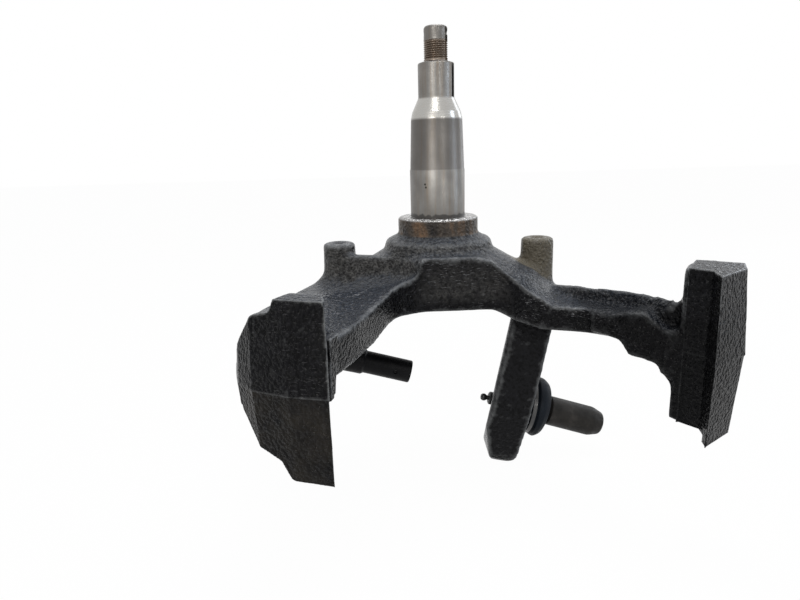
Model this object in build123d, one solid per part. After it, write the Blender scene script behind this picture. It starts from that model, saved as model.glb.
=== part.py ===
"""Front steering knuckle with an integral spindle, two caliper rails and two pressed-in ball joints.

Millimetres. The origin is on the spindle axis at the inner bearing's shoulder, +Z runs out along
the spindle, +X is the side that is up on the vehicle, and the caliper rails stand on the -Y side.
"""

import os
from math import cos, radians, sin, sqrt, tan

from build123d import *

# ---------------------------------------------------------------- spindle
SPINDLE_LENGTH = 148.0        # bearing shoulder to tip
INNER_SEAT_R = 22.62          # bore of the inner tapered roller bearing / 2
INNER_SEAT_LENGTH = 38.0
SHANK_FOOT_R = 22.15          # relieved shank between the two seats
SHANK_TOP_R = 20.8
FLARE_FOOT_Z = 78.5
OUTER_SEAT_R = 14.5           # bore of the outer tapered roller bearing / 2
OUTER_SEAT_Z = 94.4
OUTER_SEAT_LENGTH = 26.0
THREAD_R = 9.525              # 3/4 inch, 16 threads an inch
THREAD_PITCH = 1.5875
THREAD_DEPTH = 0.95
THREAD_COUNT = 9
THREAD_TOP_Z = 137.0
PILOT_R = 9.35                # plain end beyond the thread
COTTER_HOLE_R = 2.2
COTTER_HOLE_Z = 142.5
KEYWAY_WIDTH = 4.8
KEYWAY_FLOOR = 7.4            # spindle axis to the floor of the keyway
KEYWAY_AZIMUTH = 64.0         # degrees from -Y towards +X
SEAL_COLLAR_R = 33.5
SEAL_COLLAR_HEIGHT = 14.7

# ---------------------------------------------------------------- hub
FLANGE_R = 44.5
FLANGE_RIM_Z = -19.0
SHOULDER_R = 66.0
SHOULDER_Z = -38.5
SKIRT_R = 101.0               # where the hub's slope runs out on the web
HUB_BOTTOM_Z = -71.5
STEP_Z = -29.5                 # the rib from the hub's front to the left boss
SHELF_Z = -26.5               # the flat top of the hub's front wall

# ---------------------------------------------------------------- dust shield bosses
SHIELD_BOLT_R = 84.5          # spindle axis to each boss
SHIELD_BOSS_R = 13.8
SHIELD_BOSS_TOP_Z = -20.5
SHIELD_HOLE_R = 4.0
SHIELD_HOLE_DEPTH = 22.0

# ---------------------------------------------------------------- caliper bracket
WEB_BOTTOM_Z = -80.0
RIGHT_BOTTOM_Z = -83.5
LEFT_WEB_Z = -54.0
RIGHT_WEB_Z = -63.0
RIGHT_RIM_Z = -52.0
RIM_CREST = 3.0               # width of the right arm's raised rim at its top
RIM_SLOPE = 32.0              # degrees that the rim's inner side leans
WALL_DRAFT = 8.0              # degrees that the inner walls lean
RAIL_TOP_Z = -23.5
RAIL_BOTTOM_Z = -136.0
PARTING_Z = -80.5
RAIL_SWELL = 3.0              # how far the rails swell out at the parting line
RAIL_FOOT_Z = -131.0          # the guide's lower end, above the right rail's own
RAIL_FOOT_T = 6.5
HAUNCH_Z = -61.0
HAUNCH_START = (112.0, -92.0)
HAUNCH_END = (149.7, -130.7)
RIB_PLACES = (46.8, 53.0)     # from the haunch's start
RIB_OUT = 1.2                 # the two thin ribs beside the right rail's guide
RIB_WIDTH = 2.6

# ---------------------------------------------------------------- ball joints
HOUSING_TILT = 11.7           # degrees that both joint bores lean from +X towards -Z
UPPER_CENTRE = (74.9, 0.0, -173.6)
LOWER_CENTRE = (-121.0, 0.0, -114.1)
UPPER_STUD_LEAN = 5.5         # how far each free stud leans in its housing
LOWER_STUD_LEAN = 3.5
BALL_R = 14.3
SEAT_THICKNESS = 2.2
HOUSING_R = 22.0
HOUSING_TOP = 12.6            # ball centre to the housing's mouth
NECK_R = 7.8
RUNNING_GAP = 0.06
FIT_GAP = 0.02
HOUSING_FLANGE_R = HOUSING_R + 3.2
FLANGE_T = 3.0                # housing flange under the lug
COVER_T = 2.2
SPRING_T = 2.0
CUP_FLOOR = 1.7
NIPPLE_THREAD_R = 3.0
NIPPLE_HEX = 11.1
NIPPLE_HEAD_R = 3.25
NIPPLE_BORE_R = 0.8
NIPPLE_HEX_T = 7.0
NIPPLE_NECK = 4.2             # hexagon to the centre of the head
COVER_R = HOUSING_R - 3.0
COVER_BOSS_R = 8.5
COVER_BOSS_T = 4.4
LIP = 1.0                     # how far the housing's lip is crimped over the cover
MOUTH_R = 12.6
GREASE_HOLE_R = 2.0
SPRING_BORE_R = 5.5
SPRING_WALL = 1.3
SNAP_RING_OVERLAP = 3.0
SNAP_RING_SPLIT = 9.0
STUD_COTTER_R = 1.8
STUD_COTTER_DROP = 14.0       # stud end to its cotter hole
SNAP_RING_T = 2.0
SNAP_RING_DEPTH = 1.2
BOOT_R = HOUSING_R + 4.8
BOOT_WALL = 2.2
BOOT_ROOM = 60.0              # cleared in front of the lug for the boot and its swing
BOOT_FOOT = 3.0               # ball centre to the boot's open edge, round the housing
BOOT_TOP = 20.4               # ball centre to the boot's roof, on the stud
CLAMP_T = 1.2
NECK_RING_R = 11.2
NECK_RING_T = 1.8
UPPER_SHANK_R = 13.2
UPPER_STUD_LENGTH = 75.3      # ball centre to the stud's end
LOWER_TAPER_R = 12.4
LOWER_TAPER_END_R = 11.6
LOWER_TAPER_END = 54.0
LOWER_THREAD_R = 10.0
LOWER_STUD_LENGTH = 98.0

LUG_HALF_WIDTH = 40.0
LUG_FACE = -1.3                # ball centre to the lug's stud-side face
LUG_BACK = -36.5              # ball centre to the lug's cover-side edge
LUG_BOTTOM = 50.0
LUG_CORNER_R = 16.0
SPOT_FACE_R = HOUSING_FLANGE_R + 1.8

# ---------------------------------------------------------------- steering arm
TIE_ROD_POINT = (-139.0, 112.0, -127.0)
TIE_ROD_BOSS_R = 19.0
TIE_ROD_BOSS_T = 34.0
TIE_ROD_HOLE_R = 8.0
STEERING_ARM_T = 24.0
TIE_ROD_TAPER = 0.07
UPPER_LUG_REACH = 104.0       # how far each lug runs back from its ball centre to the arms
LOWER_LUG_REACH = 30.0

THROUGH = 230.0               # longer than anything that it is cut through

# worked out from the sizes above
CAVITY_R = BALL_R + SEAT_THICKNESS
CUP_TOP = -0.5
CUP_BOTTOM = -(BALL_R + CUP_FLOOR)
SPRING_BOTTOM = CUP_BOTTOM - SPRING_T
COVER_BOTTOM = SPRING_BOTTOM - COVER_T
HOUSING_BOTTOM = COVER_BOTTOM - LIP
SHANK_Z = BOOT_TOP + NECK_RING_T + 0.1
SPOT_FACE = HOUSING_BOTTOM + FLANGE_T
OUTER_SEAT_TOP = OUTER_SEAT_Z + OUTER_SEAT_LENGTH


# ================================================================ helpers
def outline(points):
    """A closed face in the XY plane from (x, y, corner radius) points."""
    face = make_face(Polyline(*[(x, y) for x, y, _ in points], close=True))
    for x, y, radius in points:
        if radius:
            corner = face.vertices().sort_by_distance((x, y, 0))[0]
            face = fillet(corner, radius)
    return face


def turned(points):
    """A solid of revolution about Z from (radius, height, corner radius) points."""
    return revolve(Plane.XZ * outline(points), Axis.Z, 360)


def block(points, low, high, draft=0.0):
    """A plan outline, given at its top, carried down from high to low with the walls at draft degrees."""
    return extrude(Plane.XY.offset(high) * outline(points), amount=low - high, taper=draft)


def joint_plane(centre, tilt):
    """A frame at centre with its Z leaning tilt degrees from +X towards -Z and its X along +Y."""
    lean = radians(tilt)
    return Plane(origin=centre, x_dir=(0, 1, 0), z_dir=(cos(lean), 0, -sin(lean)))


# ================================================================ spindle and hub
def spindle():
    """The turned spindle, seal collar, flange and sloping hub, down to the hub's flat inner side."""
    thread = []
    for turn in range(THREAD_COUNT):
        crest = THREAD_TOP_Z - turn * THREAD_PITCH
        thread.append((THREAD_R, crest, 0))
        thread.append((THREAD_R - THREAD_DEPTH, crest - THREAD_PITCH / 2, 0))
    thread_foot = THREAD_TOP_Z - THREAD_COUNT * THREAD_PITCH
    collar_foot = -SEAL_COLLAR_HEIGHT
    profile = [
        (0, SPINDLE_LENGTH, 0),
        (PILOT_R, SPINDLE_LENGTH, 2.5),
        (PILOT_R, THREAD_TOP_Z + 0.6, 0),
        *thread,
        (THREAD_R, thread_foot, 0),
        (THREAD_R, OUTER_SEAT_TOP + 1.6, 0),
        (OUTER_SEAT_R, OUTER_SEAT_TOP, 1.5),
        (OUTER_SEAT_R, OUTER_SEAT_Z, 4.0),
        (SHANK_TOP_R - 1.2, FLARE_FOOT_Z + 5.0, 5.0),
        (SHANK_TOP_R, FLARE_FOOT_Z, 4.0),
        (SHANK_FOOT_R, INNER_SEAT_LENGTH + 0.5, 0),
        (INNER_SEAT_R, INNER_SEAT_LENGTH, 0),
        (INNER_SEAT_R, 0, 0),
        (SEAL_COLLAR_R, 0, 2.0),
        (SEAL_COLLAR_R, collar_foot, 2.5),
        (FLANGE_R, FLANGE_RIM_Z, 2.0),
        (FLANGE_R + 1.5, FLANGE_RIM_Z - 8.0, 4.0),
        (SHOULDER_R, SHOULDER_Z, 3.0),
        (SHOULDER_R, HUB_BOTTOM_Z, 5.0),
        (26, HUB_BOTTOM_Z, 2.0),
        (20, HUB_BOTTOM_Z + 6.0, 3.0),
        (0, HUB_BOTTOM_Z + 6.0, 0),
    ]
    return turned(profile)


def keyway():
    """The slot for the keyed washer: milled from the tip through the thread into the outer seat."""
    length = SPINDLE_LENGTH - OUTER_SEAT_Z + 1.0
    depth = OUTER_SEAT_R + 5.0 - KEYWAY_FLOOR
    slot = Pos(0, -(KEYWAY_FLOOR + depth / 2), OUTER_SEAT_Z + length / 2) * Box(KEYWAY_WIDTH, depth, length)
    cutter_r = 20.0
    run_out = (
        Pos(0, -(KEYWAY_FLOOR + cutter_r), OUTER_SEAT_Z)
        * Rot(0, 90, 0)
        * Cylinder(cutter_r, KEYWAY_WIDTH)
    )
    return Rot(0, 0, KEYWAY_AZIMUTH) * (slot + run_out)


def cotter_hole():
    """The cross hole that locks the spindle nut's retainer."""
    return Pos(0, 0, COTTER_HOLE_Z) * Rot(0, 90, 0) * Cylinder(COTTER_HOLE_R, 4 * THREAD_R)


def hub_skirt():
    """The slope that carries the hub's shoulder down to the web, all round its upper quarter."""
    inner = SHOULDER_R - 8.0
    profile = outline(
        [
            (inner, SHOULDER_Z + 3.0, 0),
            (SHOULDER_R, SHOULDER_Z, 6.0),
            (SHOULDER_R + 15, SHOULDER_Z - 6.0, 12.0),
            (SKIRT_R - 4, RIGHT_WEB_Z + 1.5, 8.0),
            (SKIRT_R, RIGHT_WEB_Z, 0),
            (SKIRT_R, WEB_BOTTOM_Z, 0),
            (inner, WEB_BOTTOM_Z, 0),
        ]
    )
    sector = revolve(Plane.XZ * profile, Axis.Z, 95)
    return Rot(0, 0, -82) * sector


def front_shelf():
    """The flat-topped wall in front of the hub, which slopes down to the right arm."""
    profile = [
        (-19, SHELF_Z, 3),
        (27, SHELF_Z, 12),
        (38, SHELF_Z - 3.5, 10),
        (64, SHELF_Z - 25.0, 0),
        (83, RIGHT_WEB_Z, 0),
        (83, WEB_BOTTOM_Z, 0),
        (-19, WEB_BOTTOM_Z, 0),
    ]
    return Pos(0, -36, 0) * extrude(Plane.XZ * outline(profile), amount=54)


def shield_boss(side):
    """A round boss for the dust shield, flared where it meets the web; side is -1 or 1."""
    flare_z = (RIGHT_WEB_Z if side > 0 else LEFT_WEB_Z) - 2.0
    reach = 5.0 if side > 0 else 9.0
    profile = [
        (0, SHIELD_BOSS_TOP_Z, 0),
        (SHIELD_BOSS_R, SHIELD_BOSS_TOP_Z, 1.0),
        (SHIELD_BOSS_R + 0.6, flare_z + reach, reach),
        (SHIELD_BOSS_R + reach, flare_z, 0),
        (SHIELD_BOSS_R + reach, flare_z - 6.0, 0),
        (0, flare_z - 6.0, 0),
    ]
    return Pos(side * SHIELD_BOLT_R, 0, 0) * turned(profile)


def shield_hole(side):
    """The blind hole for a dust shield screw."""
    depth = SHIELD_HOLE_DEPTH
    hole = Pos(0, 0, SHIELD_BOSS_TOP_Z - depth / 2) * Cylinder(SHIELD_HOLE_R, depth)
    point = Pos(0, 0, SHIELD_BOSS_TOP_Z - depth - 1.2) * Cone(0, SHIELD_HOLE_R, 2.4)
    return Pos(side * SHIELD_BOLT_R, 0, 0) * (hole + point)


# ================================================================ caliper bracket
# The caliper gap, from the left rail round the hub's front to the right rail.
GAP_LEFT = [(-71, -178, 25), (-57, -143, 40), (-46, -107, 40), (-33, -70, 26)]
GAP_FRONT = [(-14, -57.5, 26), (44, -56.5, 22)]
GAP_RIGHT = [(70, -75.5, 40), (103, -88, 30), (150, -128, 0)]
GAP_TOP_Z = -20.0


def caliper_gap():
    """The open space in front of the hub, wider at its inner side by the draft of the walls."""
    mouth = [(175, -150, 0), (180, -260, 0), (-80, -260, 0)]
    return block(GAP_LEFT + GAP_FRONT + GAP_RIGHT + mouth, -100.0, GAP_TOP_Z, -WALL_DRAFT)


def right_arm():
    """The narrow arm: a web with a raised rim along its outer edge."""
    outer = [(66, 40, 20), (98, 10, 30), (112, -48, 30), (143, -73, 30), (153, -122, 0)]
    plan = [(34, -70, 0), (34, 30, 0), *outer, (150, -135, 0), (118, -118, 0), (60, -90, 0)]
    high = RIGHT_RIM_Z + 12.0
    crest = [
        (40, RIGHT_WEB_Z, 0),
        (-4, RIGHT_WEB_Z + 1.5, 30),
        (-46, RIGHT_RIM_Z - 1.5, 30),
        (-75, RIGHT_RIM_Z - 0.5, 30),
        (-125, RIGHT_RIM_Z + 5.0, 0),
        (-150, RIGHT_RIM_Z + 5.0, 0),
        (-150, RIGHT_BOTTOM_Z, 0),
        (40, RIGHT_BOTTOM_Z, 0),
    ]
    arm = block(plan, RIGHT_BOTTOM_Z, high, 0) & extrude(Plane.YZ * outline(crest), amount=THROUGH)
    out = (high - RIGHT_RIM_Z) * tan(radians(RIM_SLOPE)) - RIM_CREST
    pocket_plan = [
        (20, -180, 0),
        (20, 10, 0),
        (94 + out, 10, 12),
        (112 + 0.7 * out, -48 + 0.7 * out, 36),
        (143 + 0.7 * out, -73 + 0.7 * out, 30),
        (153 + out, -122, 0),
        (153 + out, -180, 0),
    ]
    return arm - block(pocket_plan, RIGHT_WEB_Z, high, RIM_SLOPE)


def left_arm():
    """The wide arm: a web that rises to a ridge along the caliper gap."""
    plan = [
        (-20, -40, 0),
        (-20, 20, 0),
        (-98, 22, 20),
        (-110, -8, 30),
        (-120, -40, 30),
        (-136, -88, 20),
        (-138, -120, 0),
        (-112, -170, 0),
        (-82, -182, 0),
        (-50, -172, 0),
    ]
    web = block(plan, WEB_BOTTOM_Z, LEFT_WEB_Z, 0)
    along = Vector(GAP_LEFT[0][0] - GAP_LEFT[3][0], GAP_LEFT[0][1] - GAP_LEFT[3][1], 0).normalized()
    plane = Plane(origin=(GAP_LEFT[3][0], GAP_LEFT[3][1], 0), x_dir=along, z_dir=along.cross(Vector(0, 0, 1)))
    hollow = [
        (-90, HUB_BOTTOM_Z, 0),
        (-8, HUB_BOTTOM_Z, 0),
        (8, HUB_BOTTOM_Z - 3.0, 20),
        (22, WEB_BOTTOM_Z + 3.0, 20),
        (34, WEB_BOTTOM_Z, 0),
        (34, WEB_BOTTOM_Z - 5.0, 0),
        (-90, WEB_BOTTOM_Z - 5.0, 0),
    ]
    return web - extrude(plane * outline(hollow), amount=60, both=True)


def hub_underside():
    """What is left open below the hub, up to where the right arm comes down to its full depth."""
    low = RIGHT_BOTTOM_Z - 5.0
    hollow = [
        (-50, HUB_BOTTOM_Z, 0),
        (38, HUB_BOTTOM_Z + 1.0, 12),
        (58, WEB_BOTTOM_Z, 8),
        (74, RIGHT_BOTTOM_Z, 6),
        (78, low, 0),
        (-50, low, 0),
    ]
    return extrude(Plane.XZ * outline(hollow), amount=THROUGH, both=True)


def gap_ridge():
    """The ridge on the left arm, highest where it meets the hub's front corner."""
    stations = [
        ((-14, -54), (-34, -28), -39.5, 4.0, -43.5),
        ((-28, -66), (-64, -14), -43.0, 5.0, -47.5),
        ((-44, -107), (-96, -48), -49.0, 4.0, -53.0),
        ((-57, -143), (-106, -100), -51.0, 3.0, -54.3),
        ((-70, -176), (-114, -156), -52.0, 2.5, -54.5),
    ]
    faces = []
    for (ix, iy), (ox, oy), top, crown, outer in stations:
        run = Vector(ox - ix, oy - iy, 0)
        reach = run.length
        plane = Plane(origin=(ix, iy, 0), x_dir=run, z_dir=run.cross(Vector(0, 0, 1)))
        foot = LEFT_WEB_Z - 8.0
        shape = [
            (-12, foot, 0),
            (-12, top, 0),
            (crown, top, 0),
            (reach * 0.4, (top + outer) / 2 - 1.5, 0),
            (reach, outer, 0),
            (reach, foot, 0),
        ]
        faces.append(plane * outline(shape))
    return loft(faces, ruled=True)


def front_step():
    """The raised rib that runs from the hub's front to the left boss, standing above the left arm."""
    plan = [
        (-6, -60, 0),
        (-19, -54, 0),
        (-27, -41.5, 16),
        (-38.5, -27.8, 20),
        (-66, -16.5, 20),
        (-88, -12, 0),
        (-88, -2, 0),
        (-64, -8, 20),
        (-40, -16, 0),
        (-12, -24, 0),
    ]
    return block(plan, LEFT_WEB_Z - 6.0, STEP_Z, -8.0)


def front_valley():
    """The hollow below the front step, which cuts the hub's slope back on its left side."""
    mouth = [(-16, -52), (-24, -41), (-36, -27), (-66, -15), (-115, -15), (-115, -130), (-24, -130), (-14, -75)]
    floor = [(-26, -54), (-36, -40), (-48, -26), (-66, -16), (-115, -16), (-115, -130), (-44, -130), (-30, -75)]
    mouth_face = Plane.XY.offset(-24.0) * outline([(x, y, 0) for x, y in mouth])
    floor_face = Plane.XY.offset(LEFT_WEB_Z) * outline([(x, y, 0) for x, y in floor])
    return loft([mouth_face, floor_face], ruled=True)


def swelling(points, swell, low=RAIL_BOTTOM_Z, high=RAIL_TOP_Z):
    """A rail's plan outline lofted so that it swells out to the parting line and draws in again.

    Each point is (x, y, dx, dy): its place at the ends and the share of the swell that it takes.
    """
    ends = [(x, y, 0) for x, y, _, _ in points]
    middle = [(x + swell * dx, y + swell * dy, 0) for x, y, dx, dy in points]
    top = Plane.XY.offset(high) * outline(ends)
    waist = Plane.XY.offset(PARTING_Z) * outline(middle)
    foot = Plane.XY.offset(low) * outline(ends)
    return loft([top, waist], ruled=True) + loft([waist, foot], ruled=True)


def left_rail():
    """The left rail: a curved plate with stepped shoulders on its outer wing."""
    points = [
        (-74.6, -196.0, 0.0, -0.6),
        (-99.0, -188.2, -0.3, -1.0),
        (-121.0, -177.0, -0.6, -0.9),
        (-131.0, -165.0, -0.9, -0.6),
        (-144.5, -130.0, -1.0, -0.3),
        (-146.0, -112.0, -1.0, 0.0),
        (-128.0, -112.0, 0.0, 0.0),
        (-118.0, -150.0, 0.0, 0.0),
        (-100.0, -166.0, 0.0, 0.0),
        (-79.0, -174.0, 0.0, 0.0),
    ]
    return swelling(points, RAIL_SWELL) & rail_elevation()


def inner_strip():
    """The rough pad on the left rail's inner side, level with the arm."""
    top = [(-76, -192, 0), (-73.4, -193, 0), (-69.6, -181, 0), (-72, -170, 0), (-84, -172, 0)]
    foot = [(-76, -192, 0), (-74.2, -192.5, 0), (-72.8, -187, 0), (-76, -172, 0), (-84, -172, 0)]
    top_face = Plane.XY.offset(-46.0) * outline(top)
    foot_face = Plane.XY.offset(PARTING_Z - 3.0) * outline(foot)
    return loft([top_face, foot_face], ruled=True)


def rail_elevation():
    """The left rail's outline seen square on, carried right through the plate."""
    along = Vector(-57.6, 30.2, 0).normalized()
    plane = Plane(origin=(-74.4, -195.2, 0), x_dir=along, z_dir=along.cross(Vector(0, 0, 1)))
    mid = PARTING_Z
    shape = [
        (-6, RAIL_BOTTOM_Z, 0),
        (-6, RAIL_TOP_Z - 6.0, 0),
        (-0.2, RAIL_TOP_Z - 6.0, 0),
        (1.5, RAIL_TOP_Z, 0),
        (32, RAIL_TOP_Z, 1.5),
        (35, RAIL_TOP_Z - 8.0, 3.0),
        (48, RAIL_TOP_Z - 10.5, 6.0),
        (62, RAIL_TOP_Z - 27.0, 20.0),
        (78, mid + 6.0, 6.0),
        (78, mid - 6.0, 6.0),
        (65, RAIL_BOTTOM_Z + 38.0, 20.0),
        (50, RAIL_BOTTOM_Z + 18.0, 6.0),
        (35, RAIL_BOTTOM_Z + 12.0, 5.0),
        (28, RAIL_BOTTOM_Z, 5.0),
    ]
    return extrude(plane * outline(shape), amount=130, both=True)


def right_rail():
    """The right rail: a machined nose, its outer face, and the guide block behind it."""
    nose = [
        (157.4, -162.6, -0.1, -0.9),
        (184.0, -142.0, 1.4, -0.4),
        (192.5, -124.0, 1.6, 0.0),
        (178.0, -112.0, 0.0, 0.0),
        (161.0, -128.0, 0.0, 0.0),
        (160.8, -145.5, 0.0, 0.0),
    ]
    guide = [
        (*HAUNCH_END, 0),
        (160.9, -145.6, 0),
        (175.0, -138.0, 0),
        (180.0, -112.0, 0),
        (168.0, -106.0, 0),
        (157.0, -118.0, 0),
    ]
    guide_block = block(guide, RAIL_FOOT_Z, RAIL_TOP_Z, 0)
    face_start = Vector(nose[0][0], nose[0][1], 0)
    face_run = Vector(nose[1][0], nose[1][1], 0) - face_start
    behind = Plane(origin=face_start, x_dir=face_run, z_dir=(0, 0, 1))
    relief = behind * Pos(0, RAIL_FOOT_T + 50, RAIL_FOOT_Z - 25) * Box(200, 100, 50)
    return swelling(nose, RAIL_SWELL) - relief + guide_block


def guide_ribs():
    """The two thin ribs on the haunch's end, beside the guide."""
    start = Vector(*HAUNCH_START, 0)
    run = Vector(*HAUNCH_END, 0) - start
    plane = Plane(origin=start, x_dir=run, z_dir=(0, 0, 1))
    ribs = []
    for place, foot in ((RIB_PLACES[0], HAUNCH_Z - 36.0), (RIB_PLACES[1], RAIL_FOOT_Z)):
        top = HAUNCH_Z - 8.0
        rib = Pos(place, 0, (foot + top) / 2) * Box(RIB_WIDTH, 2 * RIB_OUT, top - foot)
        ribs.append(plane * rib)
    return ribs


def right_haunch():
    """The deep end of the right arm, stepped down to the rail, with the guide's inner strip."""
    start = Vector(*HAUNCH_START, 0)
    along = (Vector(*HAUNCH_END, 0) - start).normalized()
    plane = Plane(origin=start, x_dir=along, z_dir=along.cross(Vector(0, 0, 1)))
    shape = [
        (-10, HAUNCH_Z - 4.0, 0),
        (8, HAUNCH_Z - 2.0, 0),
        (16, HAUNCH_Z + 0.5, 2),
        (30, HAUNCH_Z + 2.5, 2),
        (43, HAUNCH_Z - 6.0, 3),
        (54, HAUNCH_Z - 6.0, 0),
        (56, RAIL_BOTTOM_Z + 6.0, 1.5),
        (51.5, RAIL_BOTTOM_Z + 6.0, 1.5),
        (51.5, HAUNCH_Z - 46.0, 6),
        (46, HAUNCH_Z - 39.5, 2),
        (42.5, HAUNCH_Z - 39.0, 1),
        (42.5, HAUNCH_Z - 33.0, 4),
        (30, HAUNCH_Z - 31.5, 3),
        (21, HAUNCH_Z - 32.0, 4),
        (13, HAUNCH_Z - 21.0, 8),
        (-10, HAUNCH_Z - 19.0, 0),
    ]
    return extrude(plane * outline(shape), amount=-16)


# ================================================================ ball joint lugs
def lug(centre, reach):
    """The flat lug that carries a joint housing; reach is how far it runs back towards the hub."""
    side = LUG_HALF_WIDTH
    shape = [
        (-side, reach, 0),
        (-side, 1.0, 6),
        (-side + 12.0, -LUG_BOTTOM, LUG_CORNER_R),
        (side - 12.0, -LUG_BOTTOM, LUG_CORNER_R),
        (side, 1.0, 6),
        (side, reach, 0),
    ]
    body = extrude(Plane.XY.offset(LUG_FACE) * outline(shape), amount=LUG_BACK - LUG_FACE)
    relief = [
        (-side - 1.0, LUG_BACK + 3.0, 0),
        (-side + 4.0, LUG_BACK - 0.5, 3),
        (side + 1.0, LUG_BACK + 19.0, 0),
        (side + 1.0, LUG_BACK - 20.0, 0),
        (-side - 1.0, LUG_BACK - 20.0, 0),
    ]
    across = Plane(origin=(0, -80, 0), x_dir=(1, 0, 0), z_dir=(0, -1, 0))
    body -= extrude(across * outline(relief), amount=-260)
    edge = [
        (reach, LUG_FACE, 0),
        (-LUG_BOTTOM, LUG_FACE, 12),
        (-LUG_BOTTOM, LUG_BACK + 13.0, 9),
        (-12, LUG_BACK, 25),
        (reach, LUG_BACK, 0),
    ]
    side_plane = Plane(origin=(-60, 0, 0), x_dir=(0, 1, 0), z_dir=(1, 0, 0))
    body &= extrude(side_plane * outline(edge), amount=120)
    return joint_plane(centre, HOUSING_TILT) * body


def lug_bore(centre):
    """The bore and the flat counterbore that take a joint housing."""
    bore = Cylinder(HOUSING_R + FIT_GAP, THROUGH)
    seat_depth = 30.0
    counterbore = Pos(0, 0, SPOT_FACE - seat_depth / 2) * Cylinder(SPOT_FACE_R, seat_depth)
    boot_room = Pos(0, 0, LUG_FACE + BOOT_ROOM / 2) * Cylinder(BOOT_R + 4.0, BOOT_ROOM)
    return joint_plane(centre, HOUSING_TILT) * (bore + counterbore + boot_room)


def lower_gusset():
    """The solid root that carries the lower lug from under the left arm."""
    profile = [
        (-62, HUB_BOTTOM_Z + 2.0, 0),
        (-108, -72, 0),
        (-136, -76, 8),
        (-150, -94, 8),
        (-150, -106, 0),
        (-118, -104, 10),
        (-96, -96, 14),
        (-66, -88, 14),
        (-50, HUB_BOTTOM_Z - 4.0, 0),
    ]
    plane = Plane(origin=(0, 22, 0), x_dir=(1, 0, 0), z_dir=(0, -1, 0))
    return extrude(plane * outline(profile), amount=56)


def steering_arm():
    """The arm that runs back from the lower lug to the tie rod's tapered hole."""
    x, y, z = TIE_ROD_POINT
    half = STEERING_ARM_T / 2
    root_plane = Plane(origin=(LOWER_CENTRE[0] - 14.0, 26, z + 10.0), x_dir=(1, 0, 0), z_dir=(0, 1, 0))
    mid_plane = Plane(origin=(x + 1.0, 66, z + 4.0), x_dir=(1, 0, 0), z_dir=(0, 1, 0))
    end_plane = Plane(origin=(x, y, z), x_dir=(1, 0, 0), z_dir=(0, 1, 0))
    arm = loft(
        [
            root_plane * Rectangle(STEERING_ARM_T, 2.4 * STEERING_ARM_T),
            mid_plane * Rectangle(STEERING_ARM_T, 1.7 * STEERING_ARM_T),
            end_plane * Rectangle(STEERING_ARM_T, 1.2 * STEERING_ARM_T),
        ],
        ruled=True,
    )
    boss = Pos(x, y, z) * Rot(0, 90, 0) * Cylinder(TIE_ROD_BOSS_R, TIE_ROD_BOSS_T)
    return arm + boss


def tie_rod_hole():
    """The taper for the tie rod's stud, wide at the vehicle's lower side."""
    x, y, z = TIE_ROD_POINT
    spread = TIE_ROD_BOSS_T / 2 * TIE_ROD_TAPER
    taper = Cone(TIE_ROD_HOLE_R + spread, TIE_ROD_HOLE_R - spread, TIE_ROD_BOSS_T)
    return Pos(x, y, z) * Rot(0, 90, 0) * taper


# ================================================================ ball joint pieces
# Each is drawn with its ball centre at the origin and its stud along +Z.
def joint_housing():
    """The pressed-in cup: a flange below the lug, a ball cavity and a flared mouth above."""
    profile = [
        (0, HOUSING_TOP, 0),
        (HOUSING_R, HOUSING_TOP, 1.0),
        (HOUSING_R, SPOT_FACE, 0),
        (HOUSING_FLANGE_R, SPOT_FACE, 0.6),
        (HOUSING_FLANGE_R, HOUSING_BOTTOM, 1.0),
        (0, HOUSING_BOTTOM, 0),
    ]
    body = turned(profile)
    depth = CUP_TOP - SPRING_BOTTOM
    body -= Sphere(CAVITY_R)
    body -= Pos(0, 0, CUP_TOP - depth / 2) * Cylinder(CAVITY_R, depth)
    body -= Pos(0, 0, SPRING_BOTTOM - COVER_T / 2) * Cylinder(COVER_R, COVER_T)
    body -= Pos(0, 0, HOUSING_BOTTOM) * Cylinder(COVER_R - LIP, 4 * LIP)
    mouth_z = sqrt(CAVITY_R**2 - MOUTH_R**2)
    flare = HOUSING_TOP - mouth_z
    body -= Pos(0, 0, mouth_z + flare / 2) * Cone(MOUTH_R, MOUTH_R + 0.95 * flare, flare)
    body -= Cylinder(MOUTH_R, 2 * mouth_z)
    groove = Pos(0, 0, LUG_FACE + SNAP_RING_T / 2) * (
        Cylinder(HOUSING_R + 1.0, SNAP_RING_T) - Cylinder(HOUSING_R - SNAP_RING_DEPTH, SNAP_RING_T)
    )
    return body - groove


def bearing_seat():
    """The upper race, a shell of a sphere that the ball turns against."""
    shell = Sphere(CAVITY_R - FIT_GAP) - Sphere(BALL_R + RUNNING_GAP)
    shell -= Pos(0, 0, -CAVITY_R + FIT_GAP) * Cylinder(2 * CAVITY_R, 2 * CAVITY_R)
    return shell - Cylinder(MOUTH_R, 4 * CAVITY_R)


def pressure_seat():
    """The lower race, a cup that the spring presses up against the ball."""
    height = CUP_TOP - FIT_GAP - CUP_BOTTOM
    cup = Pos(0, 0, CUP_BOTTOM + height / 2) * Cylinder(CAVITY_R - FIT_GAP, height)
    cup -= Sphere(BALL_R + RUNNING_GAP)
    return cup - Pos(0, 0, CUP_BOTTOM) * Cylinder(GREASE_HOLE_R, 4 * CUP_FLOOR)


def preload_spring():
    """The conical washer between the cup and the cover."""
    profile = [
        (SPRING_BORE_R, CUP_BOTTOM - FIT_GAP, 0),
        (SPRING_BORE_R + 1.5, CUP_BOTTOM - FIT_GAP, 0),
        (CAVITY_R - 0.5, SPRING_BOTTOM + FIT_GAP + SPRING_WALL, 0),
        (CAVITY_R - 0.5, SPRING_BOTTOM + FIT_GAP, 0),
        (CAVITY_R - 2.0, SPRING_BOTTOM + FIT_GAP, 0),
        (SPRING_BORE_R, CUP_BOTTOM - FIT_GAP - SPRING_WALL, 0),
    ]
    return turned(profile)


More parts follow.
